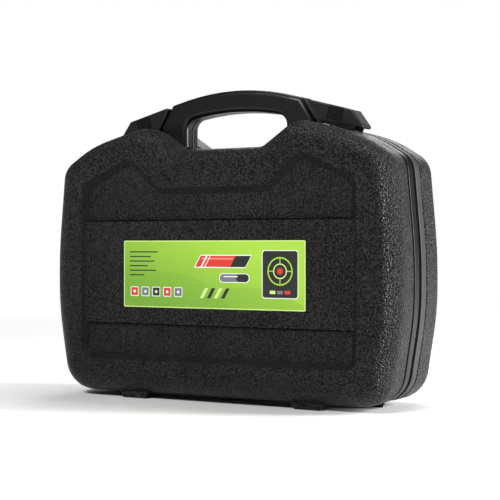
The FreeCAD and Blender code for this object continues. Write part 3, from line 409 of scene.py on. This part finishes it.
finishOf = {
    "front_handle_half": "handle",
    "back_handle_half": "handle",
    "front_inner_tray": "tray",
    "back_inner_tray": "tray",
    "motor_housing": "red",
    "rear_cap": "dark",
    "cord_gland": "rubber",
    "stator_core": "steel",
    "armature": "steel",
    "rear_bearing": "steel",
    "front_bearing": "steel",
    "brush_caps": "dark",
    "switch_slider": "dark",
    "gear_head": "cast",
    "tension_knob": "dark",
    "tension_pin": "steel",
    "fork_pivot_pin": "steel",
    "drive_fork": "steel",
    "comb": "steel",
    "cutter": "steel",
    "comb_screws": "steel",
    "oil_bottle": "milky",
    "bottle_cap": "red",
    "brush_handle": "wood",
    "brush_tufts": "bristle",
    "screwdriver_handle": "red",
    "screwdriver_blade": "steel",
    "hinge_pins": "steel",
}
for node, finishName in finishOf.items():
    words = node.split("_")
    piece = copyOf(node, words[0] + "".join(word.title() for word in words[1:]))
    piece.data.materials.append(finish[finishName])
print("handle, trays, clipper and tools dressed:", len(finishOf))

# label

labelLook = {
    "lime": (0.36, 0.63, 0.045),
    "deep": (0.15, 0.35, 0.02),
    "pale": (0.6, 0.78, 0.25),
    "ink": (0.012, 0.014, 0.01),
    "slate": (0.16, 0.18, 0.19),
    "white": (0.8, 0.82, 0.78),
    "red": (0.66, 0.035, 0.02),
    "rose": (0.85, 0.25, 0.18),
    "border": 1.0,
    "borderRadius": 0.8,
    "printFade": 0.2,         # how far an edge of the print fades
    # wide rings behind the print: middle and radius, in millimetres
    "sweeps": ((-50, -88, 90), (40, -130, 118)),
    "sweepFade": 0.5,
    "sweepStrength": 0.32,
    "hatchPitch": 2.4,        # radians per millimetre
    "hatchStrength": 0.1,
    "cornerRadius": 0.0015,   # of the film itself, in metres
    # a plain print: middle, half width and height, corner radius, lean and tone, in millimetres
    "shapes": [
        (76, 1, 19.5, 23, 3, 0, "white"), (76, 1, 18.7, 22.2, 2.6, 0, "ink"),
        (76, 4, 13.5, 13.5, 13.5, 0, "lime"), (76, 4, 12.2, 12.2, 12.2, 0, "ink"),
        (76, 4, 13, 0.45, 0.4, 0, "lime"), (76, 4, 0.45, 13, 0.4, 0, "lime"),
        (76, 4, 7.4, 7.4, 7.4, 0, "pale"), (76, 4, 6.3, 6.3, 6.3, 0, "ink"), (76, 4, 3.1, 3.1, 3.1, 0, "red"),
        (68, -16, 3, 1.6, 0.5, 0, "pale"), (76, -16, 3, 1.6, 0.5, 0, "slate"),
        (84, -16, 3, 1.6, 0.5, 0, "red"),
        (13, 13, 29, 6.4, 1.6, 0.6, "white"), (13, 13, 28, 5.4, 1.3, 0.6, "red"),
        (7, 15.6, 18, 0.8, 0.7, 0.6, "rose"), (33, 13, 8.5, 5.4, 1.3, 0.6, "ink"),
        (-8, 13, 1, 5.4, 0.2, 0.6, "white"), (-4, 13, 0.5, 5.4, 0.2, 0.6, "white"),
        (26, -3, 17, 4.6, 4.6, 0, "white"), (26, -3, 16.1, 3.8, 3.8, 0, "slate"),
        (35, -3, 7, 3.8, 3.8, 0, "ink"), (22, -1.6, 8, 0.5, 0.5, 0, "white"),
    ],
}
# thin rules at the upper left
for i, half in enumerate((17, 13, 15, 11, 16, 9)):
    labelLook["shapes"].append((half - 96, 22 - 4.6 * i, half, 0.6, 0.5, 0, "ink"))
# square badges below them
for i, tone in enumerate(("red", "slate", "ink", "red", "slate")):
    labelLook["shapes"].append((13 * i - 90, -17.5, 4.8, 4.8, 1.1, 0, "white"))
    labelLook["shapes"].append((13 * i - 90, -17.5, 4, 4, 0.8, 0, tone))
    labelLook["shapes"].append((13 * i - 90, -17.5, 1.5, 1.5, 1.5, 0, "white"))
# slanting bars in the middle
for i in range(4):
    labelLook["shapes"].append((8 * i - 8, -18, 2, 5, 0.5, 0.6, "ink" if i % 2 else "pale"))


def labelFinish(low, high):
    # a plain print of blocks, rings and rules on green; no words and no picture
    material, tree, shader, place = newMaterial("LabelPrint")
    split = tree.nodes.new("ShaderNodeSeparateXYZ")
    tree.links.new(place, split.inputs["Vector"])
    middleX = (low.x + high.x) / 2
    middleZ = (low.z + high.z) / 2
    halfWidth = (high.x - low.x) * 1000 / 2
    halfHeight = (high.z - low.z) * 1000 / 2
    # millimetres from the label's middle
    x = maths(tree, "MULTIPLY_ADD", split.outputs["X"], 1000.0, -1000 * middleX)
    z = maths(tree, "MULTIPLY_ADD", split.outputs["Z"], 1000.0, -1000 * middleZ)

    def paint(under, mask, tone):
        mix = tree.nodes.new("ShaderNodeMix")
        mix.data_type = "RGBA"
        tree.links.new(mask, mix.inputs["Factor"])
        tree.links.new(under, mix.inputs["A"])
        mix.inputs["B"].default_value = (*tone, 1)
        return mix.outputs["Result"]

    def inside(distance, edge=labelLook["printFade"]):
        # 1 where the distance is below zero, fading over a hair's breadth
        node = tree.nodes.new("ShaderNodeMath")
        node.operation = "MULTIPLY_ADD"
        node.use_clamp = True
        tree.links.new(distance, node.inputs[0])
        node.inputs[1].default_value = -1 / edge
        node.inputs[2].default_value = 0.5
        return node.outputs[0]

    def block(cx, cz, halfX, halfZ, radius, lean=0):
        # distance to a rounded block that may lean
        along = maths(tree, "MULTIPLY_ADD", z, -lean, x) if lean else x
        dx = maths(tree, "SUBTRACT", maths(tree, "ABSOLUTE", maths(tree, "SUBTRACT", along, cx - lean * cz)),
                   halfX - radius)
        dz = maths(tree, "SUBTRACT", maths(tree, "ABSOLUTE", maths(tree, "SUBTRACT", z, cz)), halfZ - radius)
        outX = maths(tree, "MAXIMUM", dx, 0.0)
        outZ = maths(tree, "MAXIMUM", dz, 0.0)
        squares = maths(tree, "MULTIPLY_ADD", outX, outX, maths(tree, "MULTIPLY", outZ, outZ))
        return maths(tree, "SUBTRACT", maths(tree, "SQRT", squares), radius)

    # lime that deepens to the lower left, with two wide sweeps and a fine slanting hatch
    fade = maths(tree, "MULTIPLY_ADD", x, -0.5 / halfWidth, 0.42)
    fade = maths(tree, "MULTIPLY_ADD", z, -0.35 / halfHeight, fade)
    colour = ramp(tree, fade, [(0.0, labelLook["lime"]), (1.0, labelLook["deep"])])
    for cx, cz, radius in labelLook["sweeps"]:
        ring = inside(block(cx, cz, radius, radius, radius), labelLook["sweepFade"])
        colour = paint(colour, maths(tree, "MULTIPLY", ring, labelLook["sweepStrength"]), labelLook["deep"])
    slant = maths(tree, "SINE", maths(tree, "MULTIPLY", maths(tree, "ADD", x, z), labelLook["hatchPitch"]))
    hatch = maths(tree, "MULTIPLY", maths(tree, "MAXIMUM", slant, 0.0), labelLook["hatchStrength"])
    colour = paint(colour, hatch, labelLook["pale"])
    for cx, cz, halfX, halfZ, radius, lean, tone in labelLook["shapes"]:
        colour = paint(colour, inside(block(cx, cz, halfX, halfZ, radius, lean)), labelLook[tone])
    border = labelLook["border"]
    edge = block(0, 0, halfWidth - border, halfHeight - border, labelLook["borderRadius"])
    colour = paint(colour, maths(tree, "SUBTRACT", 1.0, inside(edge)), labelLook["pale"])
    tree.links.new(colour, shader.inputs["Base Color"])
    film = noise(tree, place, 90, 3.0)
    tree.links.new(maths(tree, "MULTIPLY_ADD", film, 0.2, 0.28), shader.inputs["Roughness"])
    bump(tree, shader, noise(tree, place, 45, 2.0), 0.25, 0.0003)
    return material


def makeLabel():
    low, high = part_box("label")
    bm = bmesh.new()
    bmesh.ops.create_cube(bm, size=1.0)
    bmesh.ops.scale(bm, vec=high - low, verts=bm.verts)
    bmesh.ops.translate(bm, vec=(low + high) / 2, verts=bm.verts)
    corners = [edge for edge in bm.edges if abs(edge.verts[0].co.y - edge.verts[1].co.y) > 1e-5]
    bmesh.ops.bevel(bm, geom=corners, offset=labelLook["cornerRadius"], segments=5, profile=0.5,
                    affect="EDGES", material=-1)
    mesh = bpy.data.meshes.new("label")
    bm.to_mesh(mesh)
    bm.free()
    piece = bpy.data.objects.new("labelFilm", mesh)
    bpy.context.scene.collection.objects.link(piece)
    mesh.materials.append(labelFinish(low, high))
    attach(piece, "lid")
    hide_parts("label")


makeLabel()
print("label made")

# floor, light and camera

studio = {
    "floorSize": 12,
    "floorTone": 0.93,
    "floorFade": (0.8, -0.35),  # towards plain white: per metre from the part, and at the part
    "skyLight": 0.08,
    "target": (0, 0, 0.15),
    # name, place, width and height, power
    "lights": [
        ("key", (-0.2, -1.9, 1.6), (0.5, 0.5), 44),
        ("side", (1.75, 0.7, 0.5), (0.5, 1.0), 82),
        ("top", (0.1, 0.5, 1.9), (1.4, 0.7), 17),
        ("fill", (-0.6, 1.9, 0.9), (1.2, 1.0), 10),
    ],
}


def makeFloor():
    bm = bmesh.new()
    bmesh.ops.create_grid(bm, x_segments=1, y_segments=1, size=studio["floorSize"])
    mesh = bpy.data.meshes.new("floor")
    bm.to_mesh(mesh)
    bm.free()
    floor = bpy.data.objects.new("floor", mesh)
    bpy.context.scene.collection.objects.link(floor)
    material, tree, shader, place = newMaterial("PaleFloor")
    away = tree.nodes.new("ShaderNodeVectorMath")
    away.operation = "LENGTH"
    tree.links.new(place, away.inputs[0])
    # the floor fades to plain white with distance
    fade = maths(tree, "MULTIPLY_ADD", away.outputs["Value"], *studio["floorFade"])
    far = maths(tree, "MINIMUM", maths(tree, "MAXIMUM", fade, 0.0), 1.0)
    tree.links.new(far, shader.inputs["Emission Strength"])
    shader.inputs["Emission Color"].default_value = (1.0, 1.0, 1.0, 1)
    tree.links.new(ramp(tree, far, [(0.0, grey(studio["floorTone"])), (1.0, grey(0.0))]),
                   shader.inputs["Base Color"])
    shader.inputs["Roughness"].default_value = 0.9
    shader.inputs["Specular IOR Level"].default_value = 0.1
    mesh.materials.append(material)


def makeLight(name, where, size, power):
    data = bpy.data.lights.new(name, "AREA")
    data.shape = "RECTANGLE"
    data.size, data.size_y = size
    data.energy = power
    light = bpy.data.objects.new(name, data)
    bpy.context.scene.collection.objects.link(light)
    light.location = where
    aim = Vector(studio["target"]) - Vector(where)
    light.rotation_euler = aim.to_track_quat("-Z", "Y").to_euler()


def makeStudio():
    world = bpy.data.worlds.new("studio")
    bpy.context.scene.world = world
    world.use_nodes = True
    tree = world.node_tree
    background = tree.nodes["Background"]
    background.inputs["Color"].default_value = (1.0, 1.0, 1.0, 1)
    # white behind the part, dimmer as a light, so that the grain shows
    seen = tree.nodes.new("ShaderNodeLightPath").outputs["Is Camera Ray"]
    strength = maths(tree, "MULTIPLY_ADD", seen, 1.0 - studio["skyLight"], studio["skyLight"])
    tree.links.new(strength, background.inputs["Strength"])
    for name, where, size, power in studio["lights"]:
        makeLight(name, where, size, power)


view = {
    "place": (0.645, -1.117, 0.154),
    "turn": 29.6,             # degrees, about a level camera
    "lens": 91.8,
    "sensor": 36,
    "shiftUp": -0.007,
    "farthest": 50,
}


def makeCamera():
    data = bpy.data.cameras.new("camera")
    data.lens = view["lens"]
    data.sensor_width = view["sensor"]
    data.shift_y = view["shiftUp"]
    data.clip_end = view["farthest"]
    camera = bpy.data.objects.new("camera", data)
    bpy.context.scene.collection.objects.link(camera)
    camera.location = view["place"]
    camera.rotation_euler = (math.radians(90), 0, math.radians(view["turn"]))
    bpy.context.scene.camera = camera


makeFloor()
makeStudio()
makeCamera()
bpy.context.scene.view_settings.view_transform = "Standard"
print("studio ready")

bpy.context.view_layer.update()
